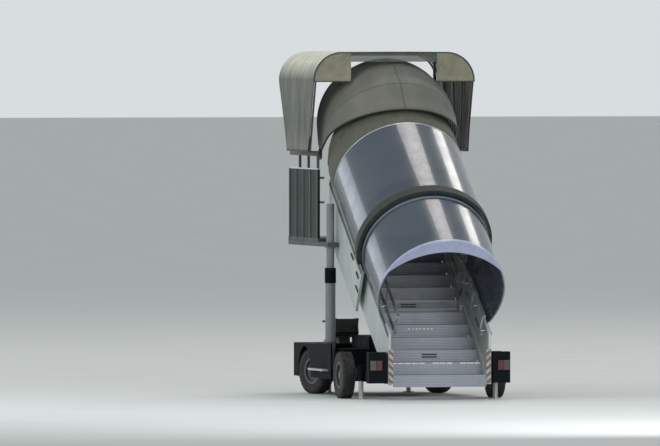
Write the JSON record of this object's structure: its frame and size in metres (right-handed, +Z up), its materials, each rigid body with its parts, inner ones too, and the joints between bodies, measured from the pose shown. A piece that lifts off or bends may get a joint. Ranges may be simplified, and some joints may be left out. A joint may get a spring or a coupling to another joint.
{
  "type": "mobile aircraft stairs",
  "caption": "Self-propelled passenger stairs with telescoping covered flight, folding hood and sheltered landing that rises on side masts.",
  "frame": {"origin": "on the ground under the middle of the whole machine's box", "axes": "+X across to the right of a passenger going up, +Y uphill towards the aircraft, +Z up"},
  "size_m": [2.6, 5.9125, 5.33],
  "materials": {
    "chassis_paint": "satin dark navy paint",
    "panel_paint": "matt light grey-green paint",
    "tread_metal": "worn ribbed aluminium",
    "rail_metal": "dark grey tube",
    "canopy_sheet": "smoke-tinted glossy sheet",
    "pale_trim": "pale lavender-white",
    "seal_rubber": "matt black",
    "deck_metal": "grey paint",
    "wall_sheet": "dark smoke grey",
    "mast_metal": "light grey-violet paint",
    "tarpaulin": "ribbed beige tarpaulin",
    "hood_fabric": "olive-beige coated fabric",
    "end_plate": "olive-beige",
    "frame_metal": "dark grey",
    "engine_metal": "oily",
    "seat_vinyl": "black vinyl",
    "step_metal": "bare",
    "rim_metal": "grey, dusty",
    "tyre": "dusty black",
    "lamp_lens": "red and white lens",
    "leg_steel": "scuffed"
  },
  "bodies": {
    "chassis": {"chassis_frame": "chassis_paint", "rear_beam": "chassis_paint", "tail_lamps": "lamp_lens", "body_sides": "chassis_paint", "front_cowl": "chassis_paint", "engine_block": "engine_metal", "engine_housing": "chassis_paint", "tank_box": "chassis_paint", "driver_seat": "seat_vinyl", "steering_wheel": "seal_rubber", "mast_outer": "mast_metal", "mast_collars": "chassis_paint", "front_axle": "frame_metal", "rear_axle": "frame_metal", "side_steps": "step_metal", "tow_jaw": "chassis_paint"},
    "knuckle_left": {"knuckle_left": "frame_metal"},
    "knuckle_right": {"knuckle_right": "frame_metal"},
    "wheel_front_left": {"rim_front_left": "rim_metal", "tyre_front_left": "tyre"},
    "wheel_front_right": {"rim_front_right": "rim_metal", "tyre_front_right": "tyre"},
    "wheel_rear_left": {"rim_rear_left": "rim_metal", "tyre_rear_left": "tyre"},
    "wheel_rear_right": {"rim_rear_right": "rim_metal", "tyre_rear_right": "tyre"},
    "leg_front_left": {"jack_front_left": "leg_steel"},
    "leg_front_right": {"jack_front_right": "leg_steel"},
    "leg_rear_left": {"jack_rear_left": "leg_steel"},
    "leg_rear_right": {"jack_rear_right": "leg_steel"},
    "lower_flight": {"lower_sides": "panel_paint", "lower_treads": "tread_metal", "lower_handrails": "rail_metal", "canopy_lower": "canopy_sheet", "canopy_lower_trim": "pale_trim"},
    "upper_flight": {"upper_sides": "panel_paint", "upper_treads": "tread_metal", "upper_handrails": "rail_metal", "canopy_upper": "canopy_sheet", "canopy_seal": "seal_rubber"},
    "landing": {"landing_deck": "deck_metal", "landing_walls": "wall_sheet", "mast_inner": "mast_metal", "shelter_frame": "frame_metal", "shelter_cover": "tarpaulin", "shelter_end_plates": "end_plate", "landing_handrails": "rail_metal", "landing_bumper": "seal_rubber"},
    "hood": {"folding_hood": "hood_fabric", "hood_bows": "frame_metal"}
  },
  "joints": [
    {"name": "mast_lift", "type": "slide", "parent": "chassis", "child": "landing", "axis": [0, 0, 1], "range_m": [-0.3, 0.6]},
    {"name": "flight_tilt", "type": "hinge", "parent": "chassis", "child": "lower_flight", "pos_m": [0, -2.16018, 0.28], "axis": [1, 0, 0], "range_deg": [-4.5, 8.5]},
    {"name": "flight_extend", "type": "slide", "parent": "lower_flight", "child": "upper_flight", "axis": [0, 0.8293, 0.5589], "range_m": [-0.19, 0.36]},
    {"name": "hood_fold", "type": "hinge", "parent": "landing", "child": "hood", "pos_m": [0, 1.13982, 3.75], "axis": [-1, 0, 0], "range_deg": [-1.7, 3.2]},
    {"name": "steer_left", "type": "hinge", "parent": "chassis", "child": "knuckle_left", "pos_m": [-0.86, 1.62982, 0.36], "axis": [0, 0, 1], "range_deg": [-50, 15]},
    {"name": "steer_right", "type": "hinge", "parent": "chassis", "child": "knuckle_right", "pos_m": [0.86, 1.62982, 0.36], "axis": [0, 0, 1], "range_deg": [-50, 15]},
    {"name": "roll_front_left", "type": "hinge", "parent": "knuckle_left", "child": "wheel_front_left", "pos_m": [-0.99156, 1.58194, 0.36], "axis": [0.9397, 0.342, 0], "continuous": true},
    {"name": "roll_front_right", "type": "hinge", "parent": "knuckle_right", "child": "wheel_front_right", "pos_m": [0.99156, 1.67771, 0.36], "axis": [0.9397, 0.342, 0], "continuous": true},
    {"name": "roll_rear_left", "type": "hinge", "parent": "chassis", "child": "wheel_rear_left", "pos_m": [-1.2, -1.05018, 0.36], "axis": [1, 0, 0], "continuous": true},
    {"name": "roll_rear_right", "type": "hinge", "parent": "chassis", "child": "wheel_rear_right", "pos_m": [1.2, -1.05018, 0.36], "axis": [1, 0, 0], "continuous": true},
    {"name": "jack_front_left", "type": "slide", "parent": "chassis", "child": "leg_front_left", "axis": [0, 0, 1], "range_m": [0, 0.25]},
    {"name": "jack_front_right", "type": "slide", "parent": "chassis", "child": "leg_front_right", "axis": [0, 0, 1], "range_m": [0, 0.25]},
    {"name": "jack_rear_left", "type": "slide", "parent": "chassis", "child": "leg_rear_left", "axis": [0, 0, 1], "range_m": [0, 0.25]},
    {"name": "jack_rear_right", "type": "slide", "parent": "chassis", "child": "leg_rear_right", "axis": [0, 0, 1], "range_m": [0, 0.25]}
  ],
  "couplings": [
    {"joint": "flight_tilt", "follows": "mast_lift", "rad_per_m": 0.211},
    {"joint": "flight_extend", "follows": "mast_lift", "ratio": 0.58},
    {"joint": "hood_fold", "follows": "mast_lift", "rad_per_m": 0.08},
    {"joint": "steer_right", "follows": "steer_left", "ratio": 1}
  ]
}
